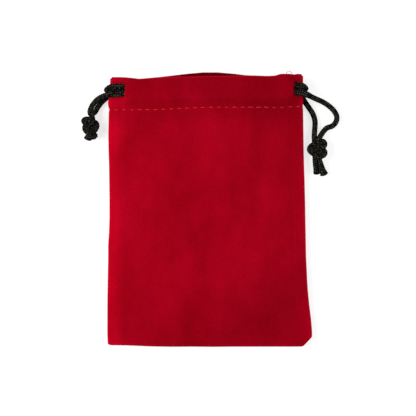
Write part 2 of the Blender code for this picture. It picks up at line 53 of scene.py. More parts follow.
# The sewn pouch, as in the CAD apart from the folded corner
BAG_LENGTH = 0.1233
TOP = BAG_LENGTH / 2
BASE_WIDTH = 0.0918
CLOTH = 0.00045
FOLD_RADIUS = 0.000425
SEAM_GAP = 0.0003
ALLOWANCE = 0.005
TRIMMED_ALLOWANCE = 0.0004
CASING_DEPTH = 0.0146
HEM_EDGE = 0.0015
HEM_INSET = 0.0014
HEM_GAP = 0.0002
THREAD = 0.00034
STITCH = 0.0035
CORD = 0.0023
CORD_CLEARANCE = 0.00025
LANE_SPACING = 0.0029
LANE_LEFT_DROP = 0.0056
LANE_RIGHT_DROP = 0.0068
LEFT_SLIT_INSET = 0.0063
RIGHT_SLIT_INSET = 0.0034
SLIT_END_SHARE = 0.74
SLIT_OPEN_SHARE = 0.46
SLIT_BLEND = 0.003
SLIT_REACH = 0.012
LANE_DROP = 0.0025
LANE_CLIMB = 0.0018
CROSSING = 0.022
CROSSING_REACH = 0.011
MOUTH_GAP = 0.0044
MOUTH_FLAT = 0.012
BODY_RISE = 0.006
PUFF_ACROSS = 0.7
PUFF_ALONG = 0.6
PUFF_BOTTOM = 0.3
SEAM_NEARS = 0.8
EDGE_LIFT = 0.0028
STITCH_RISE = 0.0012
CORNER_FOLD = 0.0038
CORNER_SLANT = 1.05
LIFT_REACH = 0.018
MOUTH_END = 0.008
REST_REACH = 0.012
LANE_RISE = CORD + 2 * CORD_CLEARANCE + CLOTH
CLOSED_RISE = CLOTH + HEM_GAP
EDGE_REACH = FOLD_RADIUS + CLOTH / 2

# Outline: share of the length or width, and the inset there. It keeps closer to the photograph than
# the CAD's does. FRONT_TOP places the casing's seam, FRONT_FOLD the front's fold above it
LEFT_EDGE = (
    (0, -0.0001), (0.06, -0.00028), (0.16, -0.00025), (0.24, -0.0001), (0.28, 0), (0.32, 0.0001),
    (0.37, 0.0001), (0.42, 0.0005), (0.47, 0.0007), (0.535, 0.0007), (0.6, 0.0006), (0.66, 0.0005),
    (0.72, 0.00025), (0.77, 0.0002), (0.8, 0.0003), (0.827, 0.00038), (0.86, 0.0004), (0.88, 0.0005),
    (0.94, 0.00097), (0.98, 0.0011))
RIGHT_EDGE = (
    (0, 0), (0.055, 0), (0.095, 0.0004), (0.155, 0.0013), (0.206, 0.0019), (0.243, 0.0022), (0.33, 0.0027),
    (0.462, 0.003), (0.52, 0.0031), (0.57, 0.00328), (0.61, 0.0034), (0.66, 0.0036), (0.72, 0.0038),
    (0.82, 0.004), (0.863, 0.0041), (0.94, 0.00436), (0.965, 0.0041), (0.98, 0.0041))
BOTTOM_EDGE = (
    (0, 0.0006), (0.06, 0.0006), (0.12, 0.00045), (0.2, 0.00012), (0.31, -0.00007), (0.41, 0),
    (0.51, -0.0001), (0.61, 0), (1, 0))
FRONT_TOP = (
    (0, 0.0023), (0.18, 0.0023), (0.29, 0.0021), (0.42, 0.0015), (0.53, 0.0012), (0.8, 0.0012),
    (0.87, 0.0014), (0.96, 0.0008), (1, 0.0008))
FRONT_FOLD = (
    (0, 0.0022), (0.05, 0.0022), (0.08, 0.0024), (0.123, 0.0028), (0.148, 0.0031), (0.2, 0.0028),
    (0.27, 0.0024), (0.35, 0.0021), (0.4, 0.0022), (0.5, 0.0019), (0.6, 0.0018), (0.65, 0.0017),
    (0.75, 0.0016), (0.82, 0.0018), (0.86, 0.0016), (0.89, 0.0008), (0.94, 0.0008), (0.958, 0.0011),
    (0.98, 0.0007), (1, 0.0009))
BACK_TOP = (
    (0, 0.0022), (0.05, 0.0022), (0.08, 0.0023), (0.123, 0.0027), (0.148, 0.0029), (0.2, 0.0025),
    (0.273, 0.0019), (0.35, 0.0011), (0.4, 0.0006), (0.48, 0), (0.56, 0), (0.64, 0.0006), (0.7, 0.0012),
    (0.75, 0.0015), (0.82, 0.0017), (0.87, 0.0016), (0.9, 0.0014), (1, 0.0014))

# Routes of the cords in millimetres, the same points as in the CAD
MM = 0.001
LEFT_CORD = {
    "knot": {
        "ways_in": ((-54.1, 43.4, 1.4), (-51.7, 43.6, 1.3)), "middle": (-53.6, 38.6, 4.2), "hand": -1,
        "ways_out": ((-55.0, 31.6, 1.3), (-51.9, 32.6, 1.3))},
    "front_end": (
        (-53.6, 45.3, 1.6), (-52.5, 47.3, 2.4), (-50.8, 49.2, 3.5), (-48.8, 50.5, 4.8), (-46.5, 51.3, 6.1),
        (-44.2, 51.8, 7.15), (-41.5, 51.9, 7.25), (-38.6, 52.15, 7.33)),
    "front_lane": (
        (-33, 52.2, 7.3), (-27.5, 52.2, 7.92), (-22, 52.2, 8.9), (-16.5, 52.2, 9.7), (-5, 52.3, 9.95),
        (5, 52.3, 10.0), (11, 52.4, 10.1), (13.5, 52.5, 9.8), (16.5, 52.7, 8.6), (22, 54.0, 6.2),
        (27.5, 55.3, 6.7), (33, 55.5, 7.25), (38.1, 55.58, 7.33)),
    "wrap": (
        (39.4, 55.6, 7.36), (40.7, 55.5, 7.15), (42.25, 55.1, 6.4), (43.05, 54.3, 4.1), (42.25, 54.1, 1.9),
        (40.7, 54.7, 1.27), (39.4, 55.35, 1.28)),
    "back_lane": (
        (38.1, 55.58, 1.72), (28, 55.5, 1.85), (17, 55.4, 1.85), (6, 55.3, 1.85), (-5, 55.3, 1.85),
        (-11, 55.3, 1.9), (-16.5, 55.0, 3.0), (-22, 53.8, 4.5), (-27.5, 52.5, 2.9), (-33, 52.2, 1.9),
        (-38.6, 52.15, 1.85)),
    "back_end": (
        (-40.0, 52.15, 1.4), (-41.5, 52.05, 1.27), (-44.3, 51.4, 1.27), (-46.7, 50.0, 1.27),
        (-48.8, 48.1, 1.27), (-50.5, 45.9, 1.27)),
}
RIGHT_CORD = {
    "knot": {
        "ways_in": ((51.0, 35.1, 1.3), (47.0, 35.3, 1.3)), "middle": (48.0, 27.6, 4.2), "hand": 1,
        "ways_out": ((51.4, 15.8, 1.3), (48.2, 16.3, 1.3))},
    "front_end": (
        (52.7, 36.8, 1.3), (54.6, 37.3, 1.3), (56.4, 38.9, 1.3), (57.1, 41.3, 1.35), (56.2, 43.7, 1.5),
        (54.1, 46.0, 2.0), (51.1, 48.1, 3.2), (48.2, 49.4, 4.5), (45.9, 50.4, 5.8), (43.6, 51.5, 6.8),
        (40.9, 52.45, 7.2), (38.1, 52.8, 7.33)),
    "front_lane": (
        (33, 52.75, 7.25), (27.5, 52.8, 7.9), (22, 54.0, 9.06), (16.5, 55.2, 9.8), (11, 55.3, 9.9),
        (0, 55.2, 9.95), (-11, 55.15, 9.9), (-16.5, 55.1, 9.7), (-22, 55.1, 8.9), (-27.5, 55.1, 7.92),
        (-33, 55.1, 7.3), (-38.6, 55.05, 7.33)),
    "wrap": (
        (-41.4, 55.0, 7.25), (-43.7, 54.9, 7.1), (-45.55, 54.4, 6.45), (-46.45, 53.6, 4.1),
        (-45.55, 53.5, 1.9), (-43.7, 54.15, 1.27), (-41.4, 54.9, 1.3), (-40.0, 55.05, 1.4)),
    "back_lane": (
        (-38.6, 55.05, 1.85), (-33, 55.05, 1.85), (-27.5, 54.95, 1.85), (-22, 53.8, 1.85),
        (-16.5, 52.6, 1.85), (-11, 52.4, 1.85), (0, 52.4, 1.85), (12, 52.5, 1.85), (25, 52.6, 1.85),
        (38.1, 52.68, 1.72)),
    "back_end": (
        (39.3, 52.6, 1.25), (41.1, 51.2, 1.27), (42.6, 48.5, 1.27), (44.4, 45.9, 1.27), (46.2, 43.1, 1.27),
        (47.2, 40.0, 1.27), (47.2, 37.2, 1.27)),
}

# The overhand knot, loose: across, along from the entry to the tails, and 1 over or -1 under
LOOSE_KNOT = (
    (-1.6, 3.0, 0.0), (-0.4, 2.3, 0.7), (1.0, 1.5, 1.0), (2.2, 0.8, 0.0), (3.0, 0.0, -1.0),
    (3.9, -1.3, -0.3), (3.0, -2.2, 0.4), (1.0, -1.5, 1.0), (0.1, 0.0, 0.0), (1.0, 1.5, -1.0),
    (3.0, 2.2, -0.4), (3.9, 1.3, 0.3), (3.0, 0.0, 1.0), (2.2, -0.8, 0.0), (1.0, -1.5, -1.0),
    (-0.4, -2.3, -0.7), (-1.6, -3.0, 0.0))
LOOSE_KNOT_MIDDLE = 1.6
LOOSE_KNOT_SCALE = 0.0022
LOOSE_KNOT_RISE = CORD * 0.62
STRAND_OFFSET = CORD * 0.55
KNOT_SQUEEZE = 0.68
KNOT_MARGIN = 0.00018
KNOT_ROUNDS = 1000
KNOT_LAST_ROUNDS = 150
KNOT_PULL = 0.4
KNOT_PUSH = 0.3
KNOT_NEIGHBOURS = 1.6

# How far two soft strands press into each other in a knot, and how much a cord swells where it is slack
STRAND_PRESS = 1.14
SLIT_SWELL = 0.2
SWELLS_ABOVE = 0.006
SWELLS_BEYOND = 0.034
SWELL_BLEND = 0.001
TAIL_SWELL = 0.14
TAIL_LENGTH = 0.009

# How many times the corners of a cord's line, and the steps of its thickness, are evened out
END_SMOOTHING = 12
RUN_SMOOTHING = 6
WIDTH_SMOOTHING = 12

# The braid of the cords: columns of slanting stitches round them, which lean to and fro by turns
BRAID_COLUMNS = 8
BRAID_PITCH = 0.00098
BRAID_LEAN = 0.8
BRAID_DEPTH = 0.0003
BRAID_MIDDLE = 0.55
BRAID_SIDES = 48
BRAID_STEP = 0.00012
PLAIN_STEP = 0.0006
CURVE_PARTS = 16

# The run inside the casing shows its braid only past this place, and a cord's two ends are domed and rough
BRAID_SHOWS = 0.0345
BRAID_BLEND = 0.002
CORD_DOME = ((0.72, 0.16), (0.38, 0.22))
CORD_TIP = 0.2
CORD_ROUGH = 0.05 * CORD
FRAY_REACH = 1.1 * CORD
FRAY_SPREAD = 0.16
FRAY_WOBBLE = 0.4
FRAYED_HEIGHT = 0.3
TABLE_GAP = 0.00004

# The side seams swell above the casing's seam and are drawn in by it
SEAM_BULGE = 0.0005
SEAM_BULGE_RISE = 0.0033
SEAM_BULGE_WIDTH = 0.0019
SEAM_NOTCH = 0.0003
SEAM_NOTCH_WIDTH = 0.0007
RIGHT_SEAM_SHARE = 0.4

# Small waves of the front: how high, and how close together across and along, with the place in the noise
WAVES = ((0.00042, 48, 33, 2.7), (0.00012, 150, 120, 5.1))
WAVE_EASE = 0.006
WAVES_AT_SEAMS = 0.2

# The allowance shows through the front as a low step with a groove beside it
STEP_HEIGHT = 0.00016
STEP_BLEND = 0.0006
GROOVE_DEPTH = 0.0001
GROOVE_WIDTH = 0.0007

# The casing's seam: a groove, a dip at each needle hole, and small waves between the stitches
SEAM_REACH = 0.006
SEAM_GROOVE = 0.00014
SEAM_GROOVE_WIDTH = 0.0009
HOLE_DIP = 0.00022
HOLE_LENGTH = 0.0006
HOLE_WIDTH = 0.0007
HOLE_SHARE = 0.29
STITCH_WAVE = 0.00007
STITCH_WAVE_REACH = 0.0022
FIRST_STITCH = 0.00105
LAST_STITCH = 0.0002
BACK_STITCH_SHIFT = 0.3

# A stitch is this share of the stitch length, give or take, and leans a little
STITCH_SHARE = 0.6
STITCH_SPREAD = 0.1
STITCH_LEAN = 0.00012
STITCH_DIVE = 0.00022
STITCH_SIDES = 10
STITCH_RINGS = 13

# How deep a stitch sinks into the pile at most
STITCH_SINK = 0.00012

# The edge of each slit bends down towards the cords
LIP_DROP = 0.00035
LIP_WIDTH = 0.0011

# The curl of loose thread on the top fold: across, and how far it stands out of the fold, in millimetres
LOOSE_THREAD = ((33.9, -0.2), (34.3, 0.55), (34.9, 1.25), (35.5, 1.5), (36.2, 1.15), (36.8, 0.5),
                (37.2, -0.2))
LOOSE_THREAD_SIDES = 8

# The floor's reach, and how far it lies below the cloth so that the two don't share a surface
FLOOR_REACH = 1.5
FLOOR_DROP = 0.00003
FLOOR_COLOUR = (0.45, 0.45, 0.45, 1)
FLOOR_GLOW = 0.72

# The lamps: place, size and power. The world's light is even and weak
LAMPS = {"Key": ((-0.95, 0.1, 0.7), 0.8, 15.0), "Fill": ((0.95, 0.0, 0.7), 0.9, 7.5)}
WORLD_LIGHT = 0.25
WHITE = (1, 1, 1, 1)

# Colours: the two ends of each range, with their places on its scale
PILE_COLOURS = (0.28, (0.270, 0.0004, 0.0060, 1)), (0.74, (0.400, 0.0010, 0.0125, 1))
THREAD_COLOURS = (0.0, (0.50, 0.012, 0.016, 1)), (1.0, (0.80, 0.045, 0.038, 1))
# The braid's upper end is a painted grey-brown highlight on the stitches' tops
BRAID_BLACK_AND_PAINTED_GLINT = (0.7, (0.0012, 0.0010, 0.0008, 1)), (1.0, (0.100, 0.090, 0.070, 1))
SHEEN_COLOUR = (1.0, 0.03, 0.08, 1)

# Painted shade at the casing and at the folded corner, painted highlight at the left and the right edge:
# a direction, from and to along it in metres, and how light it is beyond
PAINTED_LIGHT_BANDS = (((0.2, 1, 0), 0.04, 0.054, 0.82), ((0.6, -0.8, 0), 0.025, 0.056, 0.8),
        ((-1, 0, 0), 0.0375, 0.043, 1.3), ((1, 0.04, 0), 0.0375, 0.0425, 1.22))

# Painted highlight: how much lighter the pile's colour is on the round of an edge and of the mouth's fold,
# and how wide that is
EDGE_LIGHT = 0.3
EDGE_WIDTH = 0.0012
FOLD_LIGHT = 1.3
FOLD_WIDTH = 0.001

# Painted shade: the pile's colour is a little darker just below the casing's seam
SEAM_SHADE = 0.12
SEAM_SHADE_DROP = 0.0025
SEAM_SHADE_WIDTH = 0.004

# Painted shade: inside the mouth the pile's colour is darker, from just below the fold
MOUTH_SHADE = 0.5
MOUTH_RIM = 0.0003
MOUTH_FADE = 0.0004

# The grid of the cloth, in metres between its lines
COLUMN_STEP = 0.0007
ROW_STEP = 0.0009
CASING_STEP = 0.00035
CLIMB_ROWS = 12
FOLD_STEPS = 10
HEM_ROWS = 24

# How soon below the fold the hem makes room for the cords' crossing
HEM_EASE = 0.002

# The allowance: how it turns in and widens from the casing and the corners, where it is trimmed
TURN_STEPS = 7
ALLOWANCE_ROWS = (0.25, 0.5, 0.75, 1.0)
ALLOWANCE_TAPER = 0.7
TRIM_BELOW_SEAM = 0.006
TRIM_BLEND = 0.004


def smooth(share):
    """0 below 0, 1 above 1, and an even curve between, for a number or an array."""
    share = np.clip(share, 0.0, 1.0)
    return share * share * (3 - 2 * share)


def read(curve, place):
    """The value of a named outline at a share from 0 to 1."""
    shares, values = zip(*curve)
    return np.interp(place, shares, values)


def lengths_along(points):
    return np.concatenate(([0], np.cumsum(np.linalg.norm(np.diff(points, axis=0), axis=1))))


def picked(line, along, places):
    """The line's points at the given lengths along it."""
    return np.column_stack([np.interp(places, along, line[:, axis]) for axis in range(3)])


def through(points, step):
    """Points at an even step along the smooth curve that passes through the given ones."""
    points = np.array(points, float)
    padded = np.vstack([2 * points[0] - points[1], points, 2 * points[-1] - points[-2]])
    line = []
    for before, start, end, after in zip(padded, padded[1:], padded[2:], padded[3:]):
        for part in np.linspace(0, 1, CURVE_PARTS, endpoint=False):
            line.append(0.5 * (2 * start + (end - before) * part
                               + (2 * before - 5 * start + 4 * end - after) * part ** 2
                               + (3 * start - before - 3 * end + after) * part ** 3))
    line = np.array([*line, points[-1]])
    along = lengths_along(line)
    return picked(line, along, np.linspace(0, along[-1], max(2, round(along[-1] / step) + 1)))


def ring_faces(start, rings, sides):
    """The faces between the rings of points of a tube, from its first point's number on."""
    faces = []
    for ring in range(start, start + (rings - 1) * sides, sides):
        for k in range(sides):
            after = (k + 1) % sides
            faces.append((ring + k, ring + after, ring + sides + after, ring + sides + k))
    return faces


def mesh_object(name, points, faces, material):
    mesh = bpy.data.meshes.new(name)
    mesh.from_pydata([tuple(point) for point in points], [], faces)
    mesh.update()
    mesh.shade_smooth()
    mesh.materials.append(material)
    piece = bpy.data.objects.new(name, mesh)
    bpy.context.scene.collection.objects.link(piece)
    return piece


def mark(piece, name, values):
    """Gives each point of a piece a number that its material reads."""
    numbers = piece.data.attributes.new(name, "FLOAT", "POINT")
    numbers.data.foreach_set("value", np.array(values, np.float32))


def loose_knot(ways_in, ways_out, middle, hand):
    """Both strands of the overhand knot before it is drawn tight, side by side all the way."""
    loop = np.array(LOOSE_KNOT)
    loop[:, 0] = (loop[:, 0] - LOOSE_KNOT_MIDDLE) * hand
    line = through(loop * (LOOSE_KNOT_SCALE, LOOSE_KNOT_SCALE, LOOSE_KNOT_RISE), CORD * 0.4)
    along = np.gradient(line[:, :2], axis=0)
    along /= np.linalg.norm(along, axis=1)[:, None]
    strands = []
    for way_in, way_out, sign in zip(ways_in, ways_out, (1, -1)):
        strand = line + np.array(middle) * MM
        strand[:, 0] -= along[:, 1] * STRAND_OFFSET * sign
        strand[:, 1] += along[:, 0] * STRAND_OFFSET * sign
        ends = np.array((way_in, way_out)) * MM
        strands.append(through(np.vstack([ends[:1], strand[::3], ends[1:]]), CORD * 0.5))
    return strands


def drawn_tight(strands, spacing, table):
    """Shortens the strands between their fixed ends while they stay a spacing apart and on the table."""
    places = np.vstack(strands)
    owner = np.concatenate([np.full(len(strand), k) for k, strand in enumerate(strands)])
    starts = np.cumsum([0] + [len(strand) for strand in strands])
    ends = np.concatenate([starts[:-1], starts[1:] - 1])
    free = np.setdiff1d(np.arange(len(places)), ends)
    moves = np.isin(np.arange(len(places)), free)[:, None]
    first, second = np.triu_indices(len(places), 1)
    for turn in range(KNOT_ROUNDS + KNOT_LAST_ROUNDS):
        if turn < KNOT_ROUNDS:
            pull = KNOT_PULL * (1 - 0.8 * turn / KNOT_ROUNDS)
            places[free] += pull * ((places[free - 1] + places[free + 1]) / 2 - places[free])
        along = lengths_along(places)
        apart = (owner[first] != owner[second]) | (along[second] - along[first] > KNOT_NEIGHBOURS * spacing)
        one, other = first[apart], second[apart]
        for _ in range(3):
            gaps = places[other] - places[one]
            far = np.linalg.norm(gaps, axis=1)
            near = far < spacing
            push = gaps[near] * ((spacing - far[near]) / far[near] * KNOT_PUSH)[:, None]
            np.add.at(places, other[near], push * moves[other[near]])
            np.add.at(places, one[near], -push * moves[one[near]])
            places[free, 2] = np.maximum(places[free, 2], table)
    return [places[start:end] for start, end in zip(starts, starts[1:])]


def turned_frames(line):
    """Two directions square to the line at each point, which turn with it and never twist."""
    along = np.gradient(line, axis=0)
    along /= np.linalg.norm(along, axis=1)[:, None]
    sides = [np.cross(along[0], (0.0, 0.0, 1.0))]
    sides[0] /= np.linalg.norm(sides[0])
    for direction in along[1:]:
        side = sides[-1] - direction * (sides[-1] @ direction)
        sides.append(side / np.linalg.norm(side))
    return along, np.array(sides), np.cross(along, sides)


def braid_height(turn, place):
    """How far the stitches stand up, 0 to 1. turn counts the columns round, place the stitches along."""
    column = np.floor(turn)
    across = turn - column - 0.5
    lean = np.where(column % 2 == 0, BRAID_LEAN, -BRAID_LEAN)
    phase = place + lean * across
    stitch = np.sqrt(np.maximum(0.0, 1 - (2 * np.abs(phase - np.round(phase))) ** 2))
    return stitch * np.sqrt(np.maximum(0.0, 1 - (1.7 * across) ** 2))


def braided(name, line, widths, shown, material, frayed=()):
    """A closed tube of braid along a line. shown is 0 where the cord is hidden and needs no detail."""
    along, side, up = turned_frames(line)
    length = lengths_along(line)
    angles = 2 * np.pi * np.arange(BRAID_SIDES) / BRAID_SIDES
    turns = BRAID_COLUMNS * (angles / (2 * np.pi) + 0.5 / BRAID_SIDES)
    height = braid_height(turns[None, :], (length / BRAID_PITCH)[:, None])
    depth = BRAID_DEPTH * shown[:, None] * (height - BRAID_MIDDLE)
    radius = CORD / 2 * widths[:, None] + depth * widths[:, None]
    for end, flare in frayed:
        away = np.abs(length - length[end])
        burr = smooth(1 - away / FRAY_REACH)[:, None]
        wobble = np.array([noise.noise((3 * math.cos(a), 3 * math.sin(a), flare)) for a in angles])
        radius = radius * (1 + burr * (FRAY_SPREAD + FRAY_WOBBLE * wobble[None, :]))
    rings = (line[:, None] + radius[..., None] * (np.cos(angles)[None, :, None] * side[:, None]
                                                  + np.sin(angles)[None, :, None] * up[:, None]))
    rings[..., 2] = np.maximum(rings[..., 2], TABLE_GAP)
    count = len(line)
    points = rings.reshape(-1, 3)
    faces = ring_faces(0, count, BRAID_SIDES)
    extra = []
    for ring, sign in ((0, -1), (count - 1, 1)):
        previous = list(range(ring * BRAID_SIDES, (ring + 1) * BRAID_SIDES))
        for shrink, out in CORD_DOME:
            start = len(points) + len(extra)
            middle = line[ring] + along[ring] * sign * out * CORD
            for k in range(BRAID_SIDES):
                rough = CORD_ROUGH * noise.noise((k * 0.9, ring * 0.37, shrink * 9))
                extra.append(middle + (rings[ring, k] - line[ring]) * shrink + along[ring] * rough)
            new = list(range(start, start + BRAID_SIDES))
            quads = zip(previous, new, new[1:] + new[:1], previous[1:] + previous[:1])
            faces += [quad[::-sign] for quad in quads]
            previous = new
        tip = [len(points) + len(extra)] * BRAID_SIDES
        extra.append(line[ring] + along[ring] * sign * CORD_TIP * CORD)
        faces += [three[::-sign] for three in zip(previous, tip, previous[1:] + previous[:1])]
    points = np.vstack([points, np.array(extra)])
    points[:, 2] = np.maximum(points[:, 2], TABLE_GAP)
    cord = mesh_object(name, points, faces, material)
    mark(cord, "raised", np.concatenate([height.reshape(-1), np.full(len(extra), FRAYED_HEIGHT)]))
    return cord


def resampled(line, widths, shown):
    """The line again with a ring every braid step where it shows, and a longer step where it doesn't."""
    length = lengths_along(line)
    places = [0.0]
    while places[-1] < length[-1]:
        here = np.interp(places[-1], length, shown)
        places.append(places[-1] + (BRAID_STEP if here > 0.01 else PLAIN_STEP))
    places[-1] = length[-1]
    return picked(line, length, places), np.interp(places, length, widths), np.interp(places, length, shown)


def rounded(line, rounds):
    """The line with its small corners smoothed out, its ends kept."""
    line = line.copy()
    for _ in range(rounds):
        line[1:-1] += 0.5 * ((line[:-2] + line[2:]) / 2 - line[1:-1])
    return line


def squeezed_widths(line, other):
    """How thick the cord is at each point: soft as it is, it fills the room up to the other strand."""
    room = np.linalg.norm(line[:, None] - other[None], axis=2).min(axis=1)
    widths = np.clip(room / CORD * STRAND_PRESS, KNOT_SQUEEZE * STRAND_PRESS, 1.0)
    for _ in range(WIDTH_SMOOTHING):
        widths[1:-1] = (widths[:-2] + widths[1:-1] + widths[2:]) / 3
    return widths


def swelling(line):
    """How much thicker the cord is where it lies slack on the front, beside a slit."""
    high = smooth((line[:, 2] - SWELLS_ABOVE) / SWELL_BLEND)
    beside = smooth((np.abs(line[:, 0]) - SWELLS_BEYOND) / SWELL_BLEND)
    return 1 + SLIT_SWELL * high * beside


def joined(*parts):
    """Parts of a route one after the other, in metres."""
    return np.vstack(parts) * MM


def add_drawstring(side, material, knot, front_end, front_lane, wrap, back_lane, back_end):
    """One drawstring in three pieces: two free ends with a strand of the knot each, and the held run."""
    squeezed = CORD * KNOT_SQUEEZE + KNOT_MARGIN
    front_strand, back_strand = drawn_tight(loose_knot(**knot), squeezed, CORD / 2 + KNOT_MARGIN)
    front_strand = front_strand[::-1]
    fine = BRAID_STEP * 2
    front_route = np.vstack([front_strand[-1:], joined(front_end, front_lane[:1])])
    back_route = np.vstack([joined(back_lane[-1:], back_end), back_strand[:1]])

    front_run = through(front_route, fine)
    inside = np.argmin(np.linalg.norm(front_run - joined(front_end[-1:]), axis=1))
    front_line = np.vstack([through(front_strand, fine)[:-1], front_run[:inside + 1]])
    back_line = np.vstack([through(back_route, fine)[:-1], through(back_strand, fine)])

    def dressed(name, line, other, tail):
        """A free end. tail is 0 where the line starts at the cord's tip, and -1 where it ends there."""
        line = rounded(line, END_SMOOTHING)
        widths = squeezed_widths(line, other) * swelling(line)
        length = lengths_along(line)
        widths *= 1 + TAIL_SWELL * smooth(1 - np.abs(length - length[tail]) / TAIL_LENGTH)
        line, widths, shown = resampled(line, widths, np.ones(len(line)))
        piece = braided(name, line, widths, shown, material, frayed=((tail, 2.0 + len(name) * 0.1),))
        return piece

    front = dressed(side + "_cord_front_end", front_line, back_line, 0)
    back = dressed(side + "_cord_back_end", back_line, front_line, -1)

    held_line = joined(front_end[-1:], front_lane, wrap, back_lane)
    held_line = rounded(through(held_line, fine), RUN_SMOOTHING)
    inner = np.abs(held_line[:, 0])
    shown = smooth((inner - BRAID_SHOWS) / BRAID_BLEND)
    shown[(held_line[:, 0] < 0) & (inner < BRAID_SHOWS)] = 0
    held_line, widths, shown = resampled(held_line, swelling(held_line), shown)
    run = braided(side + "_cord_in_casing", held_line, widths, shown, material)
    for piece in (front, back, run):
        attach(piece, "root")
        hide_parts(side + "_drawstring")


def add_camera():
    data = bpy.data.cameras.new("Camera")
    data.sensor_width = SENSOR_MM
    data.lens = SENSOR_MM * CAMERA_HEIGHT / (PICTURE_PIXELS * PIXEL)
    data.clip_start, data.clip_end = CAMERA_SEES
    camera = bpy.data.objects.new("Camera", data)
    camera.location = (*VIEW_MIDDLE, CAMERA_HEIGHT)
    bpy.context.scene.collection.objects.link(camera)
    bpy.context.scene.camera = camera


def left_x(y):
    return -BASE_WIDTH / 2 + read(LEFT_EDGE, y / BAG_LENGTH + 0.5)


def right_x(y):
    return BASE_WIDTH / 2 - read(RIGHT_EDGE, y / BAG_LENGTH + 0.5)


def bottom_y(share):
    """The bottom edge at a share of the width. The right corner is folded under at a slant."""
    corner = 1 - CORNER_FOLD / BASE_WIDTH
    slant = np.maximum(0.0, share - corner) * BASE_WIDTH
    return -TOP + read(BOTTOM_EDGE, share) + CORNER_SLANT * slant


def stitch_y(share):
    """The seam line that closes the casing, a casing's depth below the front's top edge."""
    return TOP - read(FRONT_TOP, share) - CASING_DEPTH


def lane_y(share):
    """The middle line between the two cords in the casing."""
    drop = LANE_LEFT_DROP + share * (LANE_RIGHT_DROP - LANE_LEFT_DROP)
    return TOP - LANE_DROP + share * LANE_CLIMB - drop


MOUTH_LEFT = left_x(TOP - CASING_DEPTH / 2)
MOUTH_WIDTH = right_x(TOP - CASING_DEPTH / 2) - MOUTH_LEFT


def into_casing(share):
    """How far inside the nearer slit a place is: below 0 between a slit and its side seam."""
    return np.minimum(share * MOUTH_WIDTH - LEFT_SLIT_INSET, (1 - share) * MOUTH_WIDTH - RIGHT_SLIT_INSET)


def side_weight(share):
    """1 beside the side seams, 0 inside the casing, and a half on the slits."""
    return smooth((SLIT_BLEND - into_casing(share)) / (2 * SLIT_BLEND))


def slit_bump(share):
    """1 on the slits, falling to 0 some way inside the casing."""
    return smooth(1 - np.abs(into_casing(share)) / SLIT_REACH)


def crossing_bump(share, middle):
    """1 where the two cords cross in the casing, 0 a reach away."""
    away = np.abs(MOUTH_LEFT + share * MOUTH_WIDTH - middle)
    return 0.5 + 0.5 * np.cos(np.pi * np.minimum(away / CROSSING_REACH, 1.0))


def mouth_rise(share):
    """1 along the open middle of the mouth, 0 at the slits."""
    away = np.abs(MOUTH_LEFT + share * MOUTH_WIDTH)
    end = BASE_WIDTH / 2 - MOUTH_END
    return smooth((end - away) / (end - MOUTH_FLAT))


def edge_lift(y):
    """How far the side seams stand off the table: the cords pass below them at the casing."""
    start = TOP - CASING_DEPTH - LIFT_REACH
    return EDGE_LIFT * smooth((y - start) / LIFT_REACH)


def back_edge_z(y):
    return CLOTH / 2 + edge_lift(y)


def front_edge_z(y):
    return back_edge_z(y) + 4 * FOLD_RADIUS + CLOTH + SEAM_GAP


def back_hem_z(share):
    inside = CLOTH / 2 + LANE_RISE + CLOSED_RISE * slit_bump(share)
    return inside + (back_edge_z(lane_y(share)) + CLOSED_RISE - inside) * side_weight(share) ** 2


def front_hem_z(share):
    at_slit = CLOTH / 2 + LANE_RISE + CLOSED_RISE + CLOTH + 2 * SEAM_GAP
    middle = CLOTH / 2 + LANE_RISE + CLOTH + MOUTH_GAP
    inside = at_slit + (middle - at_slit) * mouth_rise(share)
    return inside + (front_edge_z(lane_y(share)) - CLOSED_RISE - inside) * side_weight(share) ** 2


def body_puff(share, along):
    """How far the front stands off its seams: 0 at the sides and the bottom, 1 in the middle."""
    across = np.sin(np.pi * np.clip(share, 0.0, 1.0)) ** PUFF_ACROSS
    return across * smooth(along / PUFF_BOTTOM) ** PUFF_ALONG


def stitch_places(side):
    """The middles of the stitches along the casing's seam line, as x in metres."""
    first, last = MOUTH_LEFT + FIRST_STITCH, MOUTH_LEFT + MOUTH_WIDTH - LAST_STITCH
    count = int((last - first) / STITCH)
    shift = 0.0 if side > 0 else BACK_STITCH_SHIFT
    return first + (last - first) * (np.arange(count) + 0.5 + shift) / count


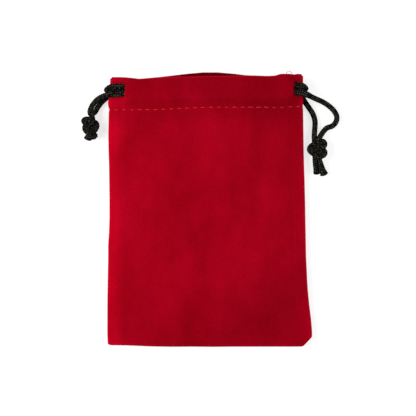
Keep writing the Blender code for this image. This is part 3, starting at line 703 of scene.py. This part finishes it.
class Cloth:
    """One panel of the pouch as a fine grid. side is 1 for the front and -1 for the back."""

    def __init__(self, side):
        self.side = side
        self.shares, self.slits = self.columns()
        self.stitches = stitch_places(side)
        reach = HOLE_SHARE * STITCH
        self.holes = np.concatenate([self.stitches - reach, self.stitches + reach])

    def columns(self):
        """Shares of the width, even apart from a line on each slit, and where those lines are."""
        count = round(MOUTH_WIDTH / COLUMN_STEP)
        shares = np.linspace(0, 1, count + 1)
        slits = []
        for place in (LEFT_SLIT_INSET / MOUTH_WIDTH, 1 - RIGHT_SLIT_INSET / MOUTH_WIDTH):
            nearest = int(np.argmin(np.abs(shares - place)))
            shares[nearest] = place
            slits.append(nearest)
        return shares, slits

    def top_y(self, share):
        return TOP - read(FRONT_FOLD if self.side > 0 else BACK_TOP, share)

    def edge_z(self, y):
        return front_edge_z(y) if self.side > 0 else back_edge_z(y)

    def stitch_z(self, share):
        if self.side > 0:
            return front_hem_z(share) + CLOSED_RISE
        inside = CLOTH / 2 + STITCH_RISE
        return inside + (back_edge_z(stitch_y(share)) - inside) * side_weight(share)

    def body_z(self, share, along, y):
        near_stitch = smooth((along - SEAM_NEARS) / (1 - SEAM_NEARS))
        if self.side > 0:
            open_z = self.edge_z(y) + BODY_RISE * body_puff(share, along)
        else:
            rest = smooth(1 - np.minimum(share, 1 - share) * MOUTH_WIDTH / REST_REACH)
            open_z = CLOTH / 2 + edge_lift(y) * rest
        return open_z + (self.stitch_z(share) - open_z) * near_stitch

    def hem_z(self, share, crossing=0.0):
        if self.side > 0:
            lower = crossing * crossing_bump(share, CROSSING)
            return front_hem_z(share) - (CORD + CORD_CLEARANCE) * lower
        raised = crossing * crossing_bump(share, -CROSSING)
        return back_hem_z(share) + (CORD + CORD_CLEARANCE) * raised

    def casing_height(self, share, cut, outside):
        """The outer layer's distance from the hem. cut is 1 on a slit's rows, outside 1 past the slit."""
        open_height = LANE_RISE + CLOSED_RISE * slit_bump(share)
        weight = side_weight(share) * (1 - cut) + outside * cut
        return open_height + (CLOSED_RISE - open_height) * weight

    def lip_drop(self, share):
        """How far the cloth beside a slit bends down to the cords."""
        return LIP_DROP * max(0.0, 1 - abs(into_casing(share)) / LIP_WIDTH) ** 2

    def x_of(self, share, y):
        left, right = left_x(y) + EDGE_REACH, right_x(y) - EDGE_REACH
        above = y - stitch_y(share)
        pucker = SEAM_BULGE * np.exp(-((above - SEAM_BULGE_RISE) / SEAM_BULGE_WIDTH) ** 2)
        pucker -= SEAM_NOTCH * np.exp(-(above / SEAM_NOTCH_WIDTH) ** 2)
        left -= pucker
        right += RIGHT_SEAM_SHARE * pucker
        return left + share * (right - left)

    def section(self, share, outside):
        """The points of one column, from the bottom edge up, over the top fold and down the hem."""
        points = []

        def put(y, z):
            points.append((self.x_of(share, y), y, z))

        low = bottom_y(share) + EDGE_REACH
        if share == 0.0:
            low += EDGE_REACH / 2
        seam = stitch_y(share)
        count = round((BAG_LENGTH - CASING_DEPTH) / ROW_STEP)
        for along in np.linspace(0, 1, count + 1):
            y = low + along * (seam - low)
            put(y, self.body_z(share, along, y))

        half = LANE_SPACING / 2
        end, full = half + CORD * SLIT_END_SHARE, half + CORD * SLIT_OPEN_SHARE
        lane = lane_y(share)
        hem = self.hem_z(share)
        top = self.top_y(share) - CLOTH / 2
        radius = self.casing_height(share, 0.0, 0.0) / 2
        depth = min(radius, top - (lane + end) - CLOTH)
        ys, zs = [seam], [self.stitch_z(share)]
        for offset in np.arange(-1, 1.0001, CASING_STEP / end) * end:
            cut = smooth((end - abs(offset)) / (end - full))
            height = self.casing_height(share, cut, outside) - (1 - outside) * self.lip_drop(share) * cut
            ys.append(lane + offset)
            zs.append(hem + self.side * height)
        at_side = share in (0.0, 1.0)
        ys.append(top - (EDGE_REACH - CLOTH / 2 if at_side else depth))
        zs.append(hem + self.side * 2 * radius)
        zs = self.edge_z(np.array(ys)) if at_side else np.maximum(zs, CLOTH / 2)
        for y in np.linspace(ys[0], ys[1], CLIMB_ROWS)[1:-1]:
            put(y, zs[0] + (zs[1] - zs[0]) * smooth((y - ys[0]) / (ys[1] - ys[0])))
        slit_first = len(points)
        for y, z in zip(ys[1:], zs[1:]):
            put(y, z)
        self.slit_rows = range(slit_first, len(points))

        for step in range(1, FOLD_STEPS + 1):
            turn = math.pi * step / FOLD_STEPS
            put(top - depth * (1 - math.sin(turn)), hem + self.side * radius * (1 + math.cos(turn)))
        self.fold_end = len(points)
        fold_y = points[-1][1]
        for y in np.linspace(fold_y, seam - HEM_EDGE, HEM_ROWS)[1:]:
            lane_part = smooth((y - seam) / (lane - half - CORD / 2 - seam))
            z = self.stitch_z(share) - self.side * CLOSED_RISE
            near = smooth((fold_y - y) / HEM_EASE)
            put(y, z + (self.hem_z(share, near) - z) * lane_part)
        return np.array(points)

    def relief(self, x, y, share):
        """Small waves of the cloth, added to its height: undulations, puckers and the allowances below."""
        rise = 0.0
        if self.side > 0:
            for height, across, along, place in WAVES:
                rise += height * noise.noise((x * across, y * along, place))
            inward = smooth(min(share, 1 - share) * MOUTH_WIDTH / WAVE_EASE)
            rise *= inward * (1 - WAVES_AT_SEAMS) + WAVES_AT_SEAMS
            edge = min(x - left_x(y), right_x(y) - x, y - bottom_y(share)) - ALLOWANCE
            rise += STEP_HEIGHT * (1 - smooth((edge + STEP_BLEND) / (2 * STEP_BLEND)))
            rise -= GROOVE_DEPTH * math.exp(-((edge - STEP_BLEND) / GROOVE_WIDTH) ** 2)
        seam = y - stitch_y(share)
        if abs(seam) < SEAM_REACH:
            nearest = np.min(np.abs(self.holes - x))
            dip = math.exp(-(seam / HOLE_WIDTH) ** 2) * math.exp(-(nearest / HOLE_LENGTH) ** 2)
            wave = math.cos(2 * math.pi * (x - self.stitches[0]) / STITCH)
            rise -= self.side * SEAM_GROOVE * math.exp(-(seam / SEAM_GROOVE_WIDTH) ** 2)
            rise -= self.side * HOLE_DIP * dip
            rise += self.side * STITCH_WAVE * wave * math.exp(-abs(seam) / STITCH_WAVE_REACH)
        return rise

    def painted_pile_light(self, x, y, share, inner):
        """Painted light in the pile's colour: painted highlight on the round of the edges and of the
        mouth's fold, painted shade inside the mouth and just below the casing's seam.
        """
        below = self.top_y(share) - y
        if inner:
            return 1 - MOUTH_SHADE * smooth((below - MOUTH_RIM) / MOUTH_FADE)
        edge = min(x - left_x(y), right_x(y) - x, y - bottom_y(share))
        fold = FOLD_LIGHT * (0.5 + 0.5 * mouth_rise(share))
        seam = (stitch_y(share) - y - SEAM_SHADE_DROP) / SEAM_SHADE_WIDTH
        lighter = max(EDGE_LIGHT * max(0.0, 1 - edge / EDGE_WIDTH), fold * max(0.0, 1 - below / FOLD_WIDTH))
        return 1 + lighter - SEAM_SHADE * math.exp(-seam ** 2)

    def height_at_seam(self, x):
        """The outer layer's middle height on the seam line, puckers included."""
        share = (x - MOUTH_LEFT) / MOUTH_WIDTH
        y = stitch_y(share)
        return y, self.stitch_z(share) + self.relief(x, y, share)

    def build(self, name, material):
        points, faces, lights, grid = [], [], [], {}
        inset = int(round(HEM_INSET / COLUMN_STEP))
        last = len(self.shares) - 1

        def put(place, share, inner):
            x, y, z = place
            z += self.relief(x, y, share)
            points.append((x, y, max(z, CLOTH / 2)))
            lights.append(self.painted_pile_light(x, y, share, inner))
            return len(points) - 1

        for column, share in enumerate(self.shares):
            beyond = float(column < self.slits[0] or column > self.slits[1])
            inside = self.section(share, beyond)
            crest = self.fold_end - FOLD_STEPS // 2
            for row in range(crest if min(column, last - column) < inset else len(inside)):
                grid[row, column, 0] = put(inside[row], share, row >= crest)
            if column in self.slits:
                outside = self.section(share, 1.0)
                for row in self.slit_rows:
                    if abs(outside[row][2] - inside[row][2]) > 1e-5:
                        grid[row, column, 1] = put(outside[row], share, False)
        self.outer_rows = self.fold_end - FOLD_STEPS
        rows = max(row for row, _, _ in grid) + 1

        def corner(row, column, towards):
            if column in self.slits and (row, column, 1) in grid:
                beyond = (towards < column) == (column == self.slits[0])
                return grid[row, column, int(beyond)]
            return grid.get((row, column, 0))

        for row in range(rows - 1):
            for column in range(last):
                corners = (corner(row, column, column + 1), corner(row, column + 1, column),
                           corner(row + 1, column + 1, column), corner(row + 1, column, column + 1))
                if None not in corners:
                    faces.append(corners if self.side > 0 else corners[::-1])
        self.add_allowance(points, faces, lights, grid, last)
        cloth = mesh_object(name, points, faces, material)
        # Each point's painted highlight and painted shade, which the velvet's colour is multiplied by
        mark(cloth, "painted_pile_light", lights)
        thick = cloth.modifiers.new("Cloth", "SOLIDIFY")
        thick.thickness = CLOTH
        thick.offset = 0
        return cloth

    def add_allowance(self, points, faces, lights, grid, last):
        """Turns the border in: half a turn round the edge, then flat between the panels."""
        keys = [(row, 0, 0) for row in reversed(range(self.outer_rows))]
        keys += [(0, column, 0) for column in range(1, last)]
        keys += [(row, last, 0) for row in range(self.outer_rows)]
        border = [grid[key] for key in keys]
        places = np.array([points[index] for index in border])
        flat = places[:, :2]
        along = lengths_along(flat)
        tangent = np.gradient(flat, axis=0)
        for _ in range(3):
            tangent[1:-1] = (tangent[:-2] + tangent[1:-1] + tangent[2:]) / 3
        tangent /= np.linalg.norm(tangent, axis=1)[:, None]
        out = np.column_stack([tangent[:, 1], -tangent[:, 0]])
        corners = (self.outer_rows - 1, self.outer_rows + last - 1)
        rings = []
        for index, start in enumerate(border):
            _, y, z = places[index]
            to_corner = min(abs(along[index] - along[place]) for place in corners)
            width = min(ALLOWANCE, TRIMMED_ALLOWANCE + ALLOWANCE_TAPER * to_corner)
            casing = smooth((y - (stitch_y(0.0) - TRIM_BELOW_SEAM)) / TRIM_BLEND)
            width += (TRIMMED_ALLOWANCE - width) * casing
            first = len(points)
            for step in range(1, TURN_STEPS + 1):
                turn = math.pi * step / TURN_STEPS
                x, y = flat[index] + out[index] * FOLD_RADIUS * math.sin(turn)
                points.append((x, y, z - self.side * FOLD_RADIUS * (1 - math.cos(turn))))
                # Painted highlight on the round of the turned edge, in the pile's colour
                lights.append(1 + EDGE_LIGHT * (1 - FOLD_RADIUS * (1 - math.sin(turn)) / EDGE_WIDTH))
            for part in ALLOWANCE_ROWS:
                x, y = flat[index] - out[index] * width * part
                points.append((x, y, z - self.side * 2 * FOLD_RADIUS))
                lights.append(1.0)
            rings.append([start, *range(first, len(points))])
        for first, second in zip(rings, rings[1:]):
            for k in range(len(first) - 1):
                quad = (first[k], second[k], second[k + 1], first[k + 1])
                faces.append(quad[::-1] if self.side > 0 else quad)


def add_stitches(name, cloth, material):
    """The seam's stitches: each comes up through one hole, lies on the cloth and goes down the next."""
    side = cloth.side
    points, faces = [], []
    rng = np.random.default_rng(11 if side > 0 else 12)
    for x0 in cloth.stitches:
        length = STITCH * (STITCH_SHARE + STITCH_SPREAD * rng.uniform(-1, 1))
        tilt = STITCH_LEAN * rng.uniform(-1, 1)
        sunk = STITCH_SINK * rng.uniform(0, 1)
        base = len(points)
        for step in range(STITCH_RINGS):
            part = step / (STITCH_RINGS - 1)
            x = x0 + (part - 0.5) * length
            y, z = cloth.height_at_seam(x)
            arch = math.sin(math.pi * part) ** 0.6
            y += tilt * (part - 0.5) * 2
            z += side * (CLOTH / 2 - sunk - STITCH_DIVE + (THREAD * 0.45 + STITCH_DIVE) * arch)
            for k in range(STITCH_SIDES):
                angle = 2 * math.pi * k / STITCH_SIDES
                radius = THREAD / 2 * (1 + 0.1 * math.cos(2 * angle + x * 9000))
                points.append((x, y + radius * math.cos(angle), z + radius * math.sin(angle)))
        faces += [face[::-1] for face in ring_faces(base, STITCH_RINGS, STITCH_SIDES)]
        faces.append(tuple(range(base, base + STITCH_SIDES)))
        faces.append(tuple(reversed(range(len(points) - STITCH_SIDES, len(points)))))
    return mesh_object(name, points, faces, material)


def add_loose_thread(cloth, material):
    """The loose end of the casing's thread, a thin tube that curls up over the front's top fold."""
    line = []
    for x, rise in LOOSE_THREAD:
        share = (x * MM - MOUTH_LEFT) / MOUTH_WIDTH
        z = cloth.hem_z(share) + cloth.casing_height(share, 0.0, 0.0) / 2
        line.append((x * MM, cloth.top_y(share) - CLOTH / 2 + rise * MM, z))
    line = through(line, THREAD / 2)
    _, side, up = turned_frames(line)
    points = []
    for place, one, other in zip(line, side, up):
        for k in range(LOOSE_THREAD_SIDES):
            angle = 2 * math.pi * k / LOOSE_THREAD_SIDES
            points.append(place + THREAD / 3 * (one * math.cos(angle) + other * math.sin(angle)))
    faces = ring_faces(0, len(line), LOOSE_THREAD_SIDES)
    faces.append(tuple(reversed(range(LOOSE_THREAD_SIDES))))
    faces.append(tuple(range(len(points) - LOOSE_THREAD_SIDES, len(points))))
    return mesh_object("front_loose_thread", points, faces, material)


def new_material(name):
    material = bpy.data.materials.new(name)
    material.use_nodes = True
    tree = material.node_tree
    return material, tree, tree.nodes["Principled BSDF"]


def feed(tree, node, values):
    """Sets each input to its value, or joins it to the output that feeds it."""
    for key, value in values.items():
        if isinstance(value, bpy.types.NodeSocket):
            tree.links.new(value, node.inputs[key])
        else:
            node.inputs[key].default_value = value


def add_node(tree, kind, values=None, **settings):
    node = tree.nodes.new("ShaderNode" + kind)
    for key, value in settings.items():
        setattr(node, key, value)
    feed(tree, node, values or {})
    return node


def clouds(tree, places, scale, detail, roughness=0.5):
    values = {"Vector": places, "Scale": scale, "Detail": detail, "Roughness": roughness}
    return add_node(tree, "TexNoise", values).outputs["Fac"]


def times(tree, one, other):
    return add_node(tree, "Math", {0: one, 1: other}, operation="MULTIPLY").outputs["Value"]


def scaled(tree, colour, light):
    values = {0: colour, "Scale": light}
    return add_node(tree, "VectorMath", values, operation="SCALE").outputs["Vector"]


def mapped(tree, value, start, end, first, last, **settings):
    """Goes from the first to the last number while the value goes from start to end."""
    values = {"Value": value, "From Min": start, "From Max": end, "To Min": first, "To Max": last}
    return add_node(tree, "MapRange", values, **settings).outputs["Result"]


def between(tree, share, colours):
    """A colour between two, each given with its place on the scale."""
    node = add_node(tree, "ValToRGB", {"Fac": share})
    for element, (place, colour) in zip(node.color_ramp.elements, colours):
        element.position, element.color = place, colour
    return node.outputs["Color"]


def bumped(tree, height, strength, distance):
    values = {"Height": height, "Strength": strength, "Distance": distance}
    return add_node(tree, "Bump", values).outputs["Normal"]


def attribute(tree, name):
    return add_node(tree, "Attribute", attribute_name=name).outputs["Fac"]


def painted_light_along(tree, places, way, start, end, last):
    """Painted light along a way: the colour's factor goes from 1 to the last value between the two places,
    painted highlight above 1 and painted shade below it.
    """
    along = add_node(tree, "VectorMath", {0: places, 1: way}, operation="DOT_PRODUCT")
    return mapped(tree, along.outputs["Value"], start, end, 1.0, last, interpolation_type="SMOOTHSTEP")


def velvet_material():
    """Deep red cut pile: soft mottled nap, a fine grain of pile and a red sheen at grazing angles."""
    material, tree, shader = new_material("red_velvet")
    places = add_node(tree, "TexCoord").outputs["Object"]
    stretch = add_node(tree, "Mapping", {"Vector": places, "Scale": (1.0, 0.55, 1.0)})
    mottle = clouds(tree, stretch.outputs["Vector"], 70.0, 4.0, 0.55)
    grain = clouds(tree, places, 1500.0, 2.0, 0.7)
    colour = between(tree, mottle, PILE_COLOURS)
    # The pile's colour is multiplied by the points' painted highlight and painted shade
    light = times(tree, mapped(tree, grain, 0.3, 0.7, 0.86, 1.1), attribute(tree, "painted_pile_light"))
    # Painted shade at the casing and the folded corner, painted highlight at the left and right edges
    for band in PAINTED_LIGHT_BANDS:
        light = times(tree, light, painted_light_along(tree, places, *band))
    feed(tree, shader, {"Base Color": scaled(tree, colour, light), "Roughness": 0.95,
                        "Specular IOR Level": 0.0, "Sheen Weight": 0.5, "Sheen Roughness": 0.38,
                        "Sheen Tint": SHEEN_COLOUR, "Normal": bumped(tree, grain, 0.35, 0.0002)})
    return material


def thread_material():
    """Orange-red sewing thread, faintly twisted, slightly shiny and here and there dulled by the pile."""
    material, tree, shader = new_material("red_thread")
    places = add_node(tree, "TexCoord").outputs["Object"]
    twist = add_node(tree, "Mapping", {"Vector": places, "Rotation": (0.0, 0.0, 0.6)})
    wave = add_node(tree, "TexWave", {"Vector": twist.outputs["Vector"], "Scale": 900.0,
                                                "Distortion": 1.0, "Detail": 1.0})
    colour = between(tree, wave.outputs["Fac"], THREAD_COLOURS)
    pale = mapped(tree, clouds(tree, places, 75.0, 1.0), 0.35, 0.65, 0.6, 1.15)
    feed(tree, shader, {"Base Color": scaled(tree, colour, pale), "Roughness": 0.6,
                        "Specular IOR Level": 0.15})
    return material


def cord_material():
    """Black polyester braid: black between the stitches, a painted grey-brown highlight on top of them for
    the glints of filament.
    """
    material, tree, shader = new_material("black_cord")
    places = add_node(tree, "TexCoord").outputs["Object"]
    grain = clouds(tree, places, 2600.0, 3.0, 0.7)
    patchy = mapped(tree, clouds(tree, places, 900.0, 2.0), 0.35, 0.6, 0.72, 1.0)
    # The colour follows the braid's height: painted highlight on the stitches' tops, black between them
    colour = between(tree, times(tree, attribute(tree, "raised"), patchy), BRAID_BLACK_AND_PAINTED_GLINT)
    feed(tree, shader, {"Base Color": colour, "Roughness": 0.6, "Specular IOR Level": 0.03,
                        "Normal": bumped(tree, grain, 0.4, 0.00006)})
    return material


def add_lights():
    """A wide soft lamp from the left and above, a weaker one from the right, and an even world."""
    for name, (place, size, power) in LAMPS.items():
        data = bpy.data.lights.new(name, "AREA")
        data.shape = "SQUARE"
        data.size = size
        data.energy = power
        lamp = bpy.data.objects.new(name, data)
        lamp.location = place
        lamp.rotation_euler = (-Vector(place)).to_track_quat("-Z", "Y").to_euler()
        bpy.context.scene.collection.objects.link(lamp)
    world = bpy.data.worlds.new("World")
    bpy.context.scene.world = world
    world.use_nodes = True
    tree = world.node_tree
    background = tree.nodes["Background"]
    feed(tree, background, {"Color": WHITE, "Strength": WORLD_LIGHT})
    white = add_node(tree, "Background", {"Color": WHITE, "Strength": 1.0})
    path = add_node(tree, "LightPath")
    seen = path.outputs["Is Camera Ray"]
    for ray in ("Is Glossy Ray", "Is Transmission Ray"):
        values = {0: seen, 1: path.outputs[ray]}
        seen = add_node(tree, "Math", values, operation="ADD", use_clamp=True).outputs["Value"]
    mix = add_node(tree, "MixShader", {"Fac": seen, 1: background.outputs["Background"],
                                                 2: white.outputs["Background"]})
    feed(tree, tree.nodes["World Output"], {"Surface": mix.outputs["Shader"]})


def add_floor():
    """A plain white sheet below the pouch. It glows to the camera, so only the soft shadows show on it."""
    material, tree, shader = new_material("white_floor")
    feed(tree, shader, {"Base Color": FLOOR_COLOUR, "Roughness": 0.9, "Specular IOR Level": 0.0})
    path = add_node(tree, "LightPath")
    glow = add_node(tree, "Math", {0: path.outputs["Is Camera Ray"], 1: FLOOR_GLOW},
                    operation="MULTIPLY")
    light = add_node(tree, "Emission", {"Color": WHITE, "Strength": glow.outputs["Value"]})
    both = add_node(tree, "AddShader", {0: shader.outputs["BSDF"], 1: light.outputs["Emission"]})
    feed(tree, tree.nodes["Material Output"], {"Surface": both.outputs["Shader"]})
    signs = ((-1, -1), (1, -1), (1, 1), (-1, 1))
    corners = [(x * FLOOR_REACH, y * FLOOR_REACH, -FLOOR_DROP) for x, y in signs]
    mesh_object("floor", corners, [(0, 1, 2, 3)], material)


def main():
    bpy.context.scene.view_settings.view_transform = "Standard"
    add_camera()
    cord = cord_material()
    for side, table in (("left", LEFT_CORD), ("right", RIGHT_CORD)):
        add_drawstring(side, cord, **table)
    velvet = velvet_material()
    thread = thread_material()
    for side, word in ((1, "front"), (-1, "back")):
        cloth = Cloth(side)
        piece = cloth.build(word + "_velvet", velvet)
        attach(piece, "root")
        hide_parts(word + "_panel")
        stitches = add_stitches(word + "_stitches", cloth, thread)
        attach(stitches, "root")
        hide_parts(word + "_casing_thread")
        if side > 0:
            loose = add_loose_thread(cloth, thread)
            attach(loose, "root")
            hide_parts(word + "_casing_thread")
    add_floor()
    add_lights()


main()
